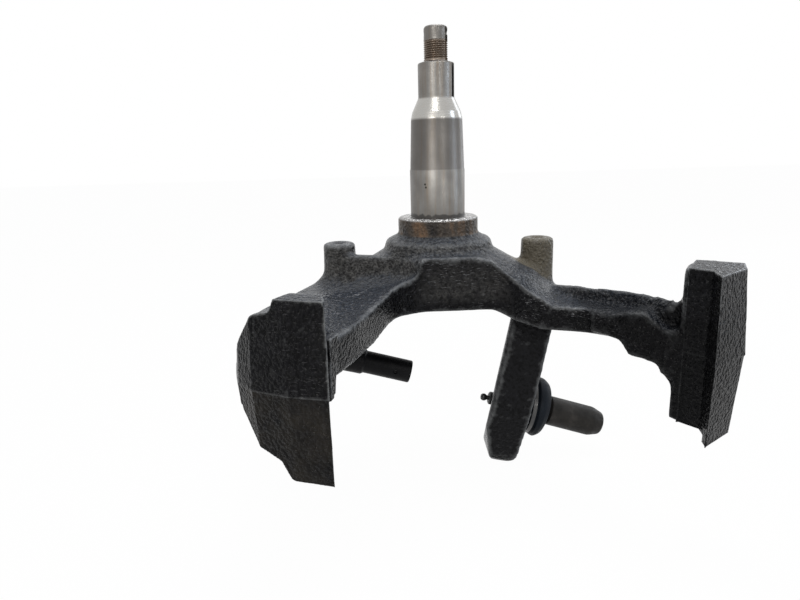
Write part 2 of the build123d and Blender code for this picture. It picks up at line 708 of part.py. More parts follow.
def cover_plate():
    """The cover that the housing's lip holds, threaded for the grease nipple."""
    plate = Cylinder(COVER_R - FIT_GAP, COVER_T - FIT_GAP)
    plate = Pos(0, 0, SPRING_BOTTOM - COVER_T / 2) * plate
    plate += Pos(0, 0, COVER_BOTTOM - COVER_BOSS_T / 2) * Cylinder(COVER_BOSS_R, COVER_BOSS_T + 0.2)
    return plate - Pos(0, 0, SPRING_BOTTOM) * Cylinder(NIPPLE_THREAD_R + FIT_GAP, 8 * COVER_T)


def grease_nipple():
    """The nipple: thread in the cover, hexagon, neck and ball-shaped head, drilled through."""
    seat = COVER_BOTTOM - COVER_BOSS_T - 0.1 - FIT_GAP
    hexagon = extrude(Plane.XY.offset(seat) * RegularPolygon(NIPPLE_HEX / 2, 6, False), amount=-NIPPLE_HEX_T)
    dome = turned(
        [
            (0, seat, 0),
            (NIPPLE_HEX / 2 + 0.2, seat, 0),
            (NIPPLE_HEX / 2 + 0.2, seat - NIPPLE_HEX_T + 1.0, 0),
            (NIPPLE_HEX / 2 - 1.2, seat - NIPPLE_HEX_T, 0),
            (0, seat - NIPPLE_HEX_T, 0),
        ]
    )
    thread_length = COVER_T + COVER_BOSS_T
    body = (hexagon & dome) + Pos(0, 0, seat + thread_length / 2) * Cylinder(NIPPLE_THREAD_R, thread_length)
    head_z = seat - NIPPLE_HEX_T - NIPPLE_NECK
    neck_length = NIPPLE_NECK + 1.0
    body += Pos(0, 0, head_z + neck_length / 2) * Cylinder(0.62 * NIPPLE_HEAD_R, neck_length)
    body += Pos(0, 0, head_z) * Sphere(NIPPLE_HEAD_R)
    tip = 0.8 * NIPPLE_HEAD_R
    body -= Pos(0, 0, head_z - tip - 5.0) * Cylinder(2 * NIPPLE_HEAD_R, 10.0)
    return body - Cylinder(NIPPLE_BORE_R, THROUGH)


def snap_ring():
    """The split ring that holds the housing in its lug."""
    outer_r = HOUSING_R + SNAP_RING_OVERLAP
    ring = Cylinder(outer_r, SNAP_RING_T - FIT_GAP)
    ring -= Cylinder(HOUSING_R - SNAP_RING_DEPTH + FIT_GAP, SNAP_RING_T)
    ring -= Pos(0, outer_r, 0) * Box(SNAP_RING_SPLIT, 2 * SNAP_RING_SPLIT, SNAP_RING_T)
    return Pos(0, 0, LUG_FACE + SNAP_RING_T / 2) * ring


def ball_stud(shank):
    """A ball with its neck and the given shank, flat below the ball to hold grease."""
    ball = Sphere(BALL_R) - Pos(0, 0, -BALL_R) * Cylinder(BALL_R, 2.2)
    neck = Pos(0, 0, SHANK_Z / 2) * Cylinder(NECK_R, SHANK_Z)
    return ball + neck + shank


def clamp_shank():
    """The upper stud's smooth shank, held by a split clamp."""
    end = UPPER_STUD_LENGTH
    profile = [
        (0, SHANK_Z, 0),
        (NECK_R + 1.6, SHANK_Z, 0),
        (UPPER_SHANK_R, SHANK_Z + 2.6, 0),
        (UPPER_SHANK_R, end - 10.0, 10.0),
        (UPPER_SHANK_R - 3.4, end, 3.0),
        (0, end, 0),
    ]
    return turned(profile)


def tapered_shank():
    """The lower stud's taper, step and threaded end."""
    end = LOWER_STUD_LENGTH
    profile = [
        (0, SHANK_Z, 0),
        (LOWER_TAPER_R, SHANK_Z, 0.8),
        (LOWER_TAPER_END_R, LOWER_TAPER_END, 0.6),
        (LOWER_THREAD_R, LOWER_TAPER_END + 2.2, 1.5),
        (LOWER_THREAD_R, end, 1.4),
        (0, end, 0),
    ]
    shank = turned(profile)
    return shank - Pos(0, 0, end - STUD_COTTER_DROP) * Rot(0, 90, 0) * Cylinder(STUD_COTTER_R, 4 * LOWER_THREAD_R)


def leaning(height, share, lean):
    """A plane square to an axis that leans by a share of the stud's own lean, height above the ball."""
    angle = radians(lean * share)
    axis = Vector(0, -sin(angle), cos(angle))
    return Plane(origin=axis * height, x_dir=(1, 0, 0), z_dir=axis)


def dust_boot(lean):
    """The rubber boot: round the housing below, round the stud's neck above."""
    skin = [
        (BOOT_FOOT, HOUSING_R + BOOT_WALL, 0),
        (BOOT_FOOT + 4.5, HOUSING_R + BOOT_WALL, 0),
        (BOOT_FOOT + 6.5, BOOT_R - 0.6, 0.2),
        (BOOT_FOOT + 9.5, BOOT_R, 0.5),
        (BOOT_FOOT + 12.5, BOOT_R - 0.8, 0.8),
        (BOOT_TOP - 2.0, BOOT_R - 3.5, 1.0),
        (BOOT_TOP, BOOT_R - 8.0, 1.0),
    ]
    outside = [leaning(z, share, lean) * Circle(r) for z, r, share in skin]
    lining = [
        (BOOT_FOOT + 6.5, HOUSING_R - 0.6, 0.2),
        (BOOT_FOOT + 9.5, BOOT_R - BOOT_WALL, 0.5),
        (BOOT_FOOT + 12.0, BOOT_R - 0.8 - BOOT_WALL, 0.8),
        (BOOT_TOP - 1.2 - BOOT_WALL, BOOT_R - 5.0, 1.0),
        (BOOT_TOP - BOOT_WALL, BOOT_R - 9.0, 1.0),
    ]
    inside = [leaning(z, share, lean) * Circle(r) for z, r, share in lining]
    boot = loft(outside, ruled=True) - loft(inside, ruled=True)
    boot -= Cylinder(HOUSING_R + FIT_GAP, 2 * (HOUSING_TOP + FIT_GAP))
    boot -= Rot(lean, 0, 0) * Cylinder(NECK_R + RUNNING_GAP, THROUGH)
    return boot


def boot_clamp():
    """The band that holds the boot on the housing."""
    inner_r = HOUSING_R + BOOT_WALL + FIT_GAP
    band = Cylinder(inner_r + CLAMP_T, 3.2) - Cylinder(inner_r, 4.0)
    return Pos(0, 0, BOOT_FOOT + 2.4) * band


def neck_ring():
    """The small ring on the stud's neck that holds the boot's roof."""
    ring = Cylinder(NECK_RING_R, NECK_RING_T) - Cylinder(NECK_R + RUNNING_GAP, 4 * NECK_RING_T)
    return Pos(0, 0, BOOT_TOP + FIT_GAP + NECK_RING_T / 2) * ring


# ================================================================ whole assembly
def knuckle():
    """The casting: spindle, hub, arms, rails, bosses, lugs and steering arm in one piece."""
    body = spindle() + (hub_skirt() + front_shelf() - hub_underside()) - front_valley()
    body += right_arm() - hub_underside()
    body += left_arm() + gap_ridge() + front_step()
    body += shield_boss(-1) + shield_boss(1)
    body += lug(UPPER_CENTRE, UPPER_LUG_REACH) + lug(LOWER_CENTRE, LOWER_LUG_REACH) + lower_gusset()
    body -= caliper_gap()
    body += left_rail() + inner_strip() + right_rail() + right_haunch() + steering_arm()
    for rib in guide_ribs():
        body += rib
    body -= lug_bore(UPPER_CENTRE) + lug_bore(LOWER_CENTRE) + tie_rod_hole()
    body -= keyway() + cotter_hole() + shield_hole(-1) + shield_hole(1)
    return body


def joint(side, centre, lean, stud):
    """Every piece of one ball joint by node name, in place."""
    fixed = joint_plane(centre, HOUSING_TILT)
    free = joint_plane(centre, HOUSING_TILT + lean)
    return {
        f"{side}_joint_housing": fixed * joint_housing(),
        f"{side}_bearing_seat": fixed * bearing_seat(),
        f"{side}_pressure_seat": fixed * pressure_seat(),
        f"{side}_preload_spring": fixed * preload_spring(),
        f"{side}_cover_plate": fixed * cover_plate(),
        f"{side}_grease_nipple": fixed * grease_nipple(),
        f"{side}_snap_ring": fixed * snap_ring(),
        f"{side}_boot_clamp": fixed * boot_clamp(),
        f"{side}_dust_boot": fixed * dust_boot(lean),
        f"{side}_neck_ring": free * neck_ring(),
        f"{side}_ball_stud": free * stud,
    }


def main():
    os.makedirs("parts", exist_ok=True)
    nodes = {"knuckle": knuckle()}
    nodes |= joint("upper", UPPER_CENTRE, UPPER_STUD_LEAN, ball_stud(clamp_shank()))
    nodes |= joint("lower", LOWER_CENTRE, LOWER_STUD_LEAN, ball_stud(tapered_shank()))
    for name, shape in nodes.items():
        if not shape.is_valid or len(shape.solids()) != 1:
            print("check", name, shape.is_valid, len(shape.solids()))
        export_step(shape, f"parts/{name}.step")


if __name__ == "__main__":
    main()
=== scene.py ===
import math

import bmesh
import bpy
import numpy as np
from mathutils import Matrix, Vector, noise


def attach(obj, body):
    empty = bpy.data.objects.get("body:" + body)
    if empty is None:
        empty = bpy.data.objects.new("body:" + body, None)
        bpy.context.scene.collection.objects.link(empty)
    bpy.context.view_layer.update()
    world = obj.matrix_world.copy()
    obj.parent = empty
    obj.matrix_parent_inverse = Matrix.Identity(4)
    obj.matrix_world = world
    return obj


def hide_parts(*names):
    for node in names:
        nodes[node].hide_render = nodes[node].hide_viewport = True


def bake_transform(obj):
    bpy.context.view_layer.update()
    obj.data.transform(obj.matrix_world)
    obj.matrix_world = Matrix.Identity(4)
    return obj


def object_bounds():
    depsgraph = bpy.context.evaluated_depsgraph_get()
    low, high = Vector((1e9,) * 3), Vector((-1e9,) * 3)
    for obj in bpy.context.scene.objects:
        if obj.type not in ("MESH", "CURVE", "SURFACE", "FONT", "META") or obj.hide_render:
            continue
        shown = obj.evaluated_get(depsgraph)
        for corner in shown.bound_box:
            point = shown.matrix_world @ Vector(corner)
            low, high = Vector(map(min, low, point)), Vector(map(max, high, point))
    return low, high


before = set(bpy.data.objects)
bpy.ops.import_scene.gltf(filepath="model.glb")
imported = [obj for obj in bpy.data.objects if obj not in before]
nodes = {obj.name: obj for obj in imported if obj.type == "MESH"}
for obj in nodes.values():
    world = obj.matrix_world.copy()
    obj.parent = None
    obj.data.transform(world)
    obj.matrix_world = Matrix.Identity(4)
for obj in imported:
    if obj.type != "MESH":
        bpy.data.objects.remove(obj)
CAD_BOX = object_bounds()
scene = bpy.context.scene

# ------------------------------------------------------------------ sizes from the part, in millimetres
MM = 0.001
HOUSING_TILT = math.radians(11.7)
SPINDLE_TIP = 148.0
INNER_SEAT_R, INNER_SEAT_LENGTH = 22.62, 38.0
SHANK_TOP_R, FLARE_FOOT_Z = 20.8, 78.5
OUTER_SEAT_R, OUTER_SEAT_Z, OUTER_SEAT_TOP = 14.5, 94.4, 120.4
THREAD_R, THREAD_PITCH, THREAD_DEPTH = 9.525, 1.5875, 0.95
THREAD_TOP_Z, THREAD_FOOT_Z = 137.0, 137.0 - 9 * 1.5875
PILOT_R = 9.35
KEYWAY_WIDTH, KEYWAY_FLOOR, KEYWAY_AZIMUTH = 4.8, 7.4, math.radians(64.0)
COTTER_R, COTTER_Z = 2.2, 142.5
SPINDLE_FOOT = -0.4
SPINDLE_SEGMENTS = 128
HOUSING_R, BOOT_R, BOOT_WALL, BOOT_FOOT, BOOT_TOP, NECK_R = 22.0, 26.8, 2.2, 3.0, 20.4, 7.8
JOINTS = {
    "upper": (Vector((74.9, 0, -173.6)), math.radians(5.5)),
    "lower": (Vector((-121.0, 0, -114.1)), math.radians(3.5)),
}
RIGHT_BOSS = (84.5, 0, -36)
# the notch beside the step and the lug's dimple: place, radius and depth
DENTS = (((-21.3, -51, -30.2), 3.0, 1.4), ((50.8, -33, -180), 2.6, 1.0))


# ------------------------------------------------------------------ camera
PITCH, ROLL = math.radians(14.1), math.radians(1.67)
CAMERA_PLACE = (-34, -509, 55)
forward = Vector((0, math.cos(PITCH), -math.sin(PITCH)))
side = Vector((1, 0, 0))
up = side.cross(forward)
right = side * math.cos(ROLL) - up * math.sin(ROLL)
upward = side * math.sin(ROLL) + up * math.cos(ROLL)
camera = bpy.data.objects.new("camera", bpy.data.cameras.new("camera"))
camera.data.sensor_width = 36.0
camera.data.lens = 27.0
camera.data.clip_start, camera.data.clip_end = 0.01, 50.0
camera.matrix_world = Matrix(
    (
        (right.x, upward.x, -forward.x, CAMERA_PLACE[0] * MM),
        (right.y, upward.y, -forward.y, CAMERA_PLACE[1] * MM),
        (right.z, upward.z, -forward.z, CAMERA_PLACE[2] * MM),
        (0, 0, 0, 1),
    )
)
scene.collection.objects.link(camera)
scene.camera = camera
scene.view_settings.view_transform = "Standard"


# ------------------------------------------------------------------ node helpers
class Shader:
    """A material with short ways to add nodes."""

    def __init__(self, name):
        self.material = bpy.data.materials.new(name)
        self.material.use_nodes = True
        self.tree = self.material.node_tree
        self.bsdf = self.tree.nodes["Principled BSDF"]
        self.coords = self.tree.nodes.new("ShaderNodeTexCoord").outputs["Object"]

    def link(self, a, b):
        self.tree.links.new(a, b)

    def node(self, kind, inputs=(), **settings):
        n = self.tree.nodes.new(kind)
        for key, value in settings.items():
            setattr(n, key, value)
        for key, value in dict(inputs).items():
            if isinstance(value, bpy.types.NodeSocket):
                self.link(value, n.inputs[key])
            else:
                n.inputs[key].default_value = value
        return n

    def noise(self, scale, detail=4.0, rough=0.55, vector=None):
        return self.node(
            "ShaderNodeTexNoise",
            {
                "Vector": vector or self.coords,
                "Scale": scale,
                "Detail": detail,
                "Roughness": rough,
            },
        ).outputs["Fac"]

    def stretch(self, x, y, z):
        return self.node("ShaderNodeMapping", {"Vector": self.coords, "Scale": (x, y, z)}).outputs["Vector"]

    def ramp(self, value, *stops):
        n = self.tree.nodes.new("ShaderNodeValToRGB")
        self.link(value, n.inputs["Fac"])
        while len(n.color_ramp.elements) < len(stops):
            n.color_ramp.elements.new(0.5)
        for element, (place, colour) in zip(n.color_ramp.elements, stops):
            element.position = place
            element.color = (*colour, 1)
        return n.outputs["Color"]

    def fade(self, value, low, high, a=0.0, b=1.0):
        limits = {"Value": value, "From Min": low, "From Max": high, "To Min": a, "To Max": b}
        n = self.node("ShaderNodeMapRange", limits)
        n.clamp = True
        return n.outputs["Result"]

    def maths(self, operation, a, b=0.0):
        return self.node("ShaderNodeMath", {0: a, 1: b}, operation=operation).outputs["Value"]

    def times(self, a, b):
        return self.maths("MULTIPLY", a, b)

    def mix(self, factor, a, b):
        n = self.node("ShaderNodeMix", data_type="RGBA")
        for index, value in ((0, factor), (6, a), (7, b)):
            if isinstance(value, bpy.types.NodeSocket):
                self.link(value, n.inputs[index])
            else:
                n.inputs[index].default_value = value if index == 0 else (*value, 1)
        return n.outputs[2]

    def axis(self, name):
        n = self.node("ShaderNodeSeparateXYZ", {0: self.coords})
        return n.outputs[name]

    def radius(self):
        """Distance from the spindle's axis."""
        x, y = self.axis("X"), self.axis("Y")
        total = self.maths("ADD", self.times(x, x), self.times(y, y))
        return self.maths("SQRT", total)

    def spot(self, place, low, high):
        """1 within high metres of a point, fading to 0 at low metres."""
        ends = {0: self.coords, 1: tuple(v * MM for v in place)}
        n = self.node("ShaderNodeVectorMath", ends, operation="DISTANCE")
        return self.fade(n.outputs["Value"], low, high)

    def attribute(self, name):
        return self.node("ShaderNodeAttribute", attribute_name=name).outputs["Fac"]

    def bump(self, height, distance, strength=1.0, under=None):
        inputs = {"Height": height, "Distance": distance, "Strength": strength}
        if under:
            inputs["Normal"] = under
        return self.node("ShaderNodeBump", inputs).outputs["Normal"]

    def surface(self, colour, rough, normal, metallic, **sockets):
        given = {"Base Color": colour, "Roughness": rough, "Normal": normal, "Metallic": metallic}
        for socket, value in given.items():
            if isinstance(value, bpy.types.NodeSocket):
                self.link(value, self.bsdf.inputs[socket])
            else:
                self.bsdf.inputs[socket].default_value = value
        for name, value in sockets.items():
            self.bsdf.inputs[name.replace("_", " ")].default_value = value
        return self.material


def paint(obj, material):
    obj.data.materials.clear()
    obj.data.materials.append(material)
    return obj


# ------------------------------------------------------------------ materials
def painted_casting():
    """Black paint over rough cast iron: orange-peel grain with painted highlights on its crests and painted
    shade in its pits, painted glint flecks, worn edges made paler partly as a painted edge highlight, dust
    with a painted bluish sheen on up-facing faces, painted shade in the dents and on the haunch, some rust.
    """
    s = Shader("painted_casting")
    z = s.axis("Z")
    facing = s.node("ShaderNodeNewGeometry").outputs["Normal"]
    normal_z = s.node("ShaderNodeSeparateXYZ", {0: facing}).outputs["Z"]
    upward = s.fade(normal_z, 0.1, 0.9)
    peel = s.noise(440, 1, 0.4)
    grain = s.noise(950, 3, 0.6)
    swell = s.noise(60, 4, 0.5)
    tone = s.ramp(
        swell,
        (0.3, (0.0025, 0.0025, 0.003)),
        (0.55, (0.0045, 0.0045, 0.0055)),
        (0.75, (0.008, 0.008, 0.008)),
    )
    lug = s.times(s.fade(z, -0.085, -0.105), s.fade(s.axis("Y"), -0.075, -0.065))
    tone = s.mix(lug, tone, (0.010, 0.010, 0.011))
    back = s.fade(s.axis("Y"), -0.058, -0.046)
    hub = s.times(back, s.fade(z, -0.066, -0.056))
    grey = s.times(hub, s.fade(s.noise(240, 4, 0.65), 0.32, 0.68, 0.15, 1.15))
    tone = s.mix(grey, tone, (0.115, 0.112, 0.108))
    # dust on up-facing faces, its bluish tint a painted sheen of the sky light, so up-facing faces are also
    # painted lighter
    dust_and_sky_sheen = s.times(upward, s.fade(s.noise(420, 3, 0.65), 0.3, 0.75, 0.2, 1.0))
    dust_and_sky_sheen = s.times(dust_and_sky_sheen, s.fade(s.axis("X"), 0.140, 0.150, 1.0, 0.3))
    tone = s.mix(s.times(dust_and_sky_sheen, 0.7), tone, (0.050, 0.063, 0.086))
    # painted highlight on the peel's crests and painted shade in its pits, following the same noise as the
    # bump
    tone = s.mix(s.fade(peel, 0.50, 0.70, 0.0, 0.6), tone, (0.014, 0.014, 0.016))
    tone = s.mix(s.fade(peel, 0.48, 0.34, 0.0, 0.6), tone, (0.002, 0.002, 0.002))
    # painted glints: short pale dashes on the front wall stand in for lamp glints on the paint
    painted_glints = s.noise(1.0, 3, 0.6, s.stretch(240, 420, 1100))
    painted_glints = s.times(s.fade(painted_glints, 0.60, 0.66), s.fade(s.noise(42, 2), 0.36, 0.58))
    wall = s.times(s.fade(s.axis("Y"), -0.046, -0.056), s.fade(s.axis("Y"), -0.120, -0.100, 0.25, 1.0))
    painted_glints = s.times(painted_glints, s.times(wall, s.fade(z, -0.105, -0.085, 0.2, 1.0)))
    tone = s.mix(s.times(painted_glints, 0.8), tone, (0.22, 0.22, 0.23))
    # edges painted paler: partly wear, partly a painted highlight along the edges
    wear_and_edge_highlight = s.attribute("edge")
    wear_and_edge_highlight = s.fade(s.maths("ADD", wear_and_edge_highlight, s.times(s.fade(s.noise(180, 3), 0.3, 0.7), 0.25)), 0.5, 1.0)
    tone = s.mix(s.times(wear_and_edge_highlight, 0.75), tone, (0.21, 0.215, 0.22))
    rust = s.times(s.fade(z, -0.079, -0.082), s.fade(s.axis("X"), -0.060, -0.070))
    rust = s.times(rust, s.fade(s.noise(80, 5, 0.65), 0.30, 0.70))
    tone = s.mix(s.times(rust, 0.5), tone, (0.042, 0.036, 0.028))
    olive = s.times(s.spot(RIGHT_BOSS, 0.026, 0.021), s.fade(s.noise(110, 4, 0.6), 0.2, 0.8, 0.55, 1.0))
    tone = s.mix(olive, tone, (0.135, 0.118, 0.088))
    # painted shade: each dent is darkened almost to black
    for place, size, _ in DENTS:
        tone = s.mix(s.spot(place, size * MM, size * MM * 0.5), tone, (0.003, 0.003, 0.003))
    # painted shade: the haunch is painted darker
    haunch_shade = s.times(s.fade(s.axis("X"), 0.098, 0.108), s.fade(z, -0.052, -0.058))
    tone = s.mix(s.times(haunch_shade, 0.65), tone, (0.0015, 0.0015, 0.0018))
    collar = s.times(s.fade(s.radius(), 0.0345, 0.0337), s.fade(z, -0.0148, -0.0138))
    band = s.ramp(
        s.noise(70, 5, 0.6, s.stretch(1, 1, 0.5)),
        (0.3, (0.030, 0.028, 0.028)),
        (0.5, (0.085, 0.070, 0.058)),
        (0.66, (0.19, 0.12, 0.075)),
    )
    tone = s.mix(collar, tone, band)
    bright = s.times(collar, s.fade(z, -0.0024, -0.0012))
    tone = s.mix(bright, tone, (0.34, 0.335, 0.33))
    rough = s.fade(s.noise(340, 3), 0.3, 0.7, 0.13, 0.30)
    normal = s.bump(peel, 0.0019, s.fade(lug, 0.0, 1.0, 1.0, 0.45))
    normal = s.bump(grain, 0.00016, 0.8, normal)
    return s.surface(tone, rough, normal, bright, Specular_IOR_Level=0.07)


def ground_steel():
    """Turned and ground spindle steel: fine rings, warm stains, dark thread, and a painted highlight on the
    flare.
    """
    s = Shader("ground_steel")
    z = s.axis("Z")
    rings = s.noise(1.0, 5, 0.7, s.stretch(60, 60, 5200))
    streaks = s.noise(1.0, 4, 0.6, s.stretch(420, 420, 14))
    blotch = s.noise(52, 5, 0.6)
    mottle = s.noise(420, 4, 0.65)
    tone = s.ramp(
        blotch,
        (0.25, (0.125, 0.122, 0.116)),
        (0.5, (0.175, 0.170, 0.162)),
        (0.75, (0.235, 0.228, 0.217)),
    )
    tone = s.mix(s.fade(streaks, 0.48, 0.70, 0.0, 0.7), tone, (0.175, 0.140, 0.105))
    tone = s.mix(s.fade(mottle, 0.5, 0.75, 0.0, 0.35), tone, (0.12, 0.115, 0.11))
    shank = s.times(s.fade(z, 0.0378, 0.0386), s.fade(z, 0.0790, 0.0775))
    tone = s.mix(s.times(shank, 0.65), tone, (0.090, 0.083, 0.078))
    # painted highlight: the flare's cone is painted pale, standing in for the lamps' reflection on it
    flare_highlight = s.times(s.fade(z, 0.0770, 0.0790), s.fade(z, 0.0945, 0.0930))
    tone = s.mix(s.times(flare_highlight, 0.7), tone, (0.52, 0.51, 0.485))
    thread = s.times(s.fade(z, 0.1212, 0.1225), s.fade(z, 0.1378, 0.1366))
    tone = s.mix(s.times(thread, 0.75), tone, (0.21, 0.165, 0.13))
    tip = s.fade(z, 0.1370, 0.1380)
    tone = s.mix(s.times(tip, 0.4), tone, (0.115, 0.106, 0.097))
    jag = s.noise(1.0, 3, 0.6, s.stretch(190, 190, 60))
    foot = s.fade(s.maths("SUBTRACT", z, s.times(jag, 0.0085)), -0.0012, -0.0022)
    tone = s.mix(s.times(foot, 0.85), tone, (0.03, 0.027, 0.025))
    for place in ((-11.2, -19.6, 27.0), (-10.6, -20.0, 24.6)):
        tone = s.mix(s.spot(place, 0.0011, 0.0005), tone, (0.02, 0.018, 0.016))
    rough = s.maths("SUBTRACT", s.fade(rings, 0.3, 0.7, 0.34, 0.46), s.times(flare_highlight, 0.14))
    normal = s.bump(rings, 0.00004, 0.35)
    normal = s.bump(mottle, 0.00010, 0.5, normal)
    return s.surface(tone, rough, normal, s.maths("SUBTRACT", 1.0, s.times(foot, 0.7)))


def bare_stud():
    """The upper stud's shank: phosphate-grey steel, a little brown."""
    s = Shader("bare_stud")
    tone = s.ramp(
        s.noise(90, 5, 0.6),
        (0.3, (0.016, 0.015, 0.014)),
        (0.55, (0.028, 0.026, 0.024)),
        (0.75, (0.048, 0.044, 0.040)),
    )
    rough = s.fade(s.noise(240, 3), 0.3, 0.7, 0.42, 0.6)
    normal = s.bump(s.noise(900, 3), 0.00012, 0.5)
    return s.surface(tone, rough, normal, 0.35, Specular_IOR_Level=0.15)


def painted_stud():
    """The lower stud: black paint, worn on the edges."""
    s = Shader("painted_stud")
    tone = s.ramp(
        s.noise(110, 5, 0.6),
        (0.3, (0.005, 0.005, 0.0055)),
        (0.6, (0.010, 0.010, 0.011)),
        (0.8, (0.026, 0.024, 0.023)),
    )
    rough = s.fade(s.noise(260, 3), 0.3, 0.7, 0.34, 0.55)
    normal = s.bump(s.noise(700, 3), 0.0002, 0.5)
    return s.surface(tone, rough, normal, 0.1, Specular_IOR_Level=0.10)


def dark_steel(name, low, high, scale, metallic=0.6, rough=(0.3, 0.5), depth=0.0001):
    """A plain machined or pressed steel piece."""
    s = Shader(name)
    tone = s.ramp(s.noise(scale, 5, 0.6), (0.3, low), (0.7, high))
    sheen = s.fade(s.noise(scale * 3, 3), 0.3, 0.7, *rough)
    return s.surface(tone, sheen, s.bump(s.noise(scale * 8, 3), depth, 0.5), metallic)


def boot_rubber():
    """Bluish-grey rubber with a faint bloom."""
    s = Shader("boot_rubber")
    tone = s.ramp(
        s.noise(70, 5, 0.6),
        (0.3, (0.005, 0.007, 0.010)),
        (0.6, (0.010, 0.013, 0.018)),
        (0.8, (0.022, 0.028, 0.036)),
    )
    rough = s.fade(s.noise(200, 3), 0.3, 0.7, 0.38, 0.6)
    return s.surface(tone, rough, s.bump(s.noise(500, 3), 0.00015, 0.5), 0.0, Specular_IOR_Level=0.10)


# ------------------------------------------------------------------ mesh helpers
def new_piece(name, mesh, smooth=True):
    obj = bpy.data.objects.new(name, mesh)
    scene.collection.objects.link(obj)
    if smooth:
        mesh.shade_smooth()
    return obj


def grid_mesh(name, rows, closed_ends=True):
    """A mesh round an axis from rows of points: each row is one ring."""
    count = len(rows[0])
    verts = [tuple(p) for row in rows for p in row]
    faces = []
    for j in range(len(rows) - 1):
        for i in range(count):
            a, b = j * count + i, j * count + (i + 1) % count
            faces.append((a, b, b + count, a + count))
    if closed_ends:
        faces.append(tuple(reversed(range(count))))
        top = (len(rows) - 1) * count
        faces.append(tuple(range(top, top + count)))
    mesh = bpy.data.meshes.new(name)
    mesh.from_pydata(verts, [], faces)
    mesh.update()
    return mesh


def rounded(points, steps=4):
    """A profile of (radius, height, corner radius) points with its corners turned into short arcs."""
    out = []
    for k, (r, z, corner) in enumerate(points):
        here = Vector((r, z))
        if not corner or k in (0, len(points) - 1):
            out.append(here)
            continue
        a, b = Vector(points[k - 1][:2]) - here, Vector(points[k + 1][:2]) - here
        half = a.angle(b) / 2
        if half > math.pi / 2 - 0.02:
            out.append(here)
            continue
        cut = min(corner / math.tan(half), a.length * 0.49, b.length * 0.49)
        radius = cut * math.tan(half)
        centre = here + (a.normalized() + b.normalized()).normalized() * (radius / math.sin(half))
        start, end = here + a.normalized() * cut - centre, here + b.normalized() * cut - centre
        turn = start.angle_signed(end)
        for i in range(steps + 1):
            rot = Matrix.Rotation(-turn * i / steps, 2)
            out.append(centre + rot @ start)
    return out


def boolean_cut(obj, cutter):
    modifier = obj.modifiers.new("cut", "BOOLEAN")
    modifier.operation = "DIFFERENCE"
    modifier.solver = "EXACT"
    modifier.object = cutter
    bake(obj)
    bpy.data.objects.remove(cutter)


def cut_shape(obj, name, bm):
    """Cuts the shape in bm out of obj, and frees bm."""
    mesh = bpy.data.meshes.new(name)
    bm.to_mesh(mesh)
    bm.free()
    boolean_cut(obj, new_piece(name, mesh, False))


def bake(obj):
    """Applies every modifier of obj to its mesh."""
    bpy.context.view_layer.update()
    depsgraph = bpy.context.evaluated_depsgraph_get()
    mesh = bpy.data.meshes.new_from_object(obj.evaluated_get(depsgraph))
    obj.modifiers.clear()
    old = obj.data
    obj.data = mesh
    bpy.data.meshes.remove(old)
    bpy.context.view_layer.update()


# ------------------------------------------------------------------ spindle
def spindle_radius(z, angle):
    """The thread's radius at a height and angle, in mm."""
    turn = (z / THREAD_PITCH - angle / (2 * math.pi)) % 1.0
    flank = min(1.0, abs(turn - 0.5) * 2 / 0.86)
    fade = min(1.0, max(0.0, (THREAD_TOP_Z + 0.4 - z) / 1.0), max(0.0, (z - THREAD_FOOT_Z) / 0.9))
    return THREAD_R - THREAD_DEPTH * (1 - flank) * fade


